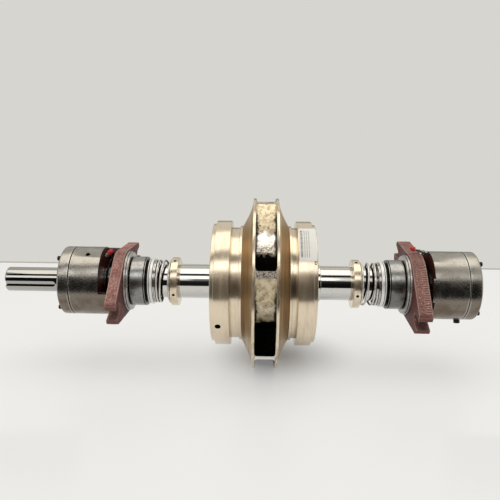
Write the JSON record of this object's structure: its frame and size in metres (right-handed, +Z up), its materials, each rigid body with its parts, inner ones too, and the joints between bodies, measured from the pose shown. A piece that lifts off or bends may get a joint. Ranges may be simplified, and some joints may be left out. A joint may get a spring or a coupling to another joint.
{
  "type": "pump rotating assembly",
  "caption": "Shaft with a double-suction impeller, loose wear rings, sleeves, spring seals and a flanged bearing cartridge at each end, standing on the impeller's rim.",
  "frame": {"origin": "on the floor under the middle of the assembly's length, below the shaft's axis", "axes": "+X along the shaft from the coupling end to the outboard end, +Z up"},
  "size_m": [0.7902, 0.2864, 0.2864],
  "materials": {
    "machined_steel": "turned grey iron, satin, with darker handling marks",
    "polished_steel": "ground and polished",
    "bright_steel": "bright drawn or pressed stainless steel",
    "bronze": "machined pale bronze",
    "cast_bronze": "sand-cast bronze with machined hubs and rims",
    "red_oxide_paint": "dull red oxide primer on a rough casting",
    "dark_seal": "carbon and rubber",
    "black_steel": "black oxide",
    "red_plastic": "moulded cap"
  },
  "bodies": {
    "rotor": {"shaft": "polished_steel", "impeller_hub": "cast_bronze", "impeller_vane_1": "cast_bronze", "impeller_vane_2": "cast_bronze", "impeller_vane_3": "cast_bronze", "impeller_vane_4": "cast_bronze", "impeller_vane_5": "cast_bronze", "impeller_vane_6": "cast_bronze", "impeller_drive_shroud": "cast_bronze", "impeller_outboard_shroud": "cast_bronze", "drive_shaft_sleeve": "polished_steel", "drive_seal_collar": "bronze", "drive_seal_spring": "bright_steel", "drive_spring_disc": "bright_steel", "drive_seal_retainer": "bright_steel", "drive_seal_face": "dark_seal", "drive_deflector": "machined_steel", "outboard_shaft_sleeve": "polished_steel", "outboard_seal_collar": "bronze", "outboard_seal_spring": "bright_steel", "outboard_spring_disc": "bright_steel", "outboard_seal_retainer": "bright_steel", "outboard_seal_face": "dark_seal", "outboard_deflector": "machined_steel"},
    "drive_cartridge": {"drive_seal_seat": "dark_seal", "drive_seal_housing": "machined_steel", "drive_pilot_ring": "machined_steel", "drive_mounting_flange": "red_oxide_paint", "drive_bearing_housing": "machined_steel", "drive_end_cover": "machined_steel", "drive_grease_fitting": "bright_steel", "drive_fitting_cap": "red_plastic", "drive_shaft_seal": "dark_seal"},
    "outboard_cartridge": {"outboard_seal_seat": "dark_seal", "outboard_seal_housing": "machined_steel", "outboard_pilot_ring": "machined_steel", "outboard_mounting_flange": "red_oxide_paint", "outboard_bearing_housing": "machined_steel", "outboard_end_cover": "machined_steel", "outboard_grease_fitting": "bright_steel", "outboard_fitting_cap": "red_plastic", "outboard_drain_plug": "black_steel"},
    "drive_ring": {"drive_wear_ring": "bronze"},
    "outboard_ring": {"outboard_wear_ring": "bronze"}
  },
  "joints": [
    {"name": "drive_cartridge_turn", "type": "hinge", "parent": "rotor", "child": "drive_cartridge", "pos_m": [-0.2284, 0, 0.14319], "axis": [1, 0, 0], "continuous": true},
    {"name": "outboard_cartridge_turn", "type": "hinge", "parent": "rotor", "child": "outboard_cartridge", "pos_m": [0.3246, 0, 0.14319], "axis": [1, 0, 0], "continuous": true},
    {"name": "drive_ring_turn", "type": "hinge", "parent": "rotor", "child": "drive_ring", "pos_m": [-0.011, 0, 0.14319], "axis": [1, 0, 0], "continuous": true},
    {"name": "outboard_ring_turn", "type": "hinge", "parent": "rotor", "child": "outboard_ring", "pos_m": [0.0961, 0, 0.14319], "axis": [1, 0, 0], "continuous": true}
  ]
}
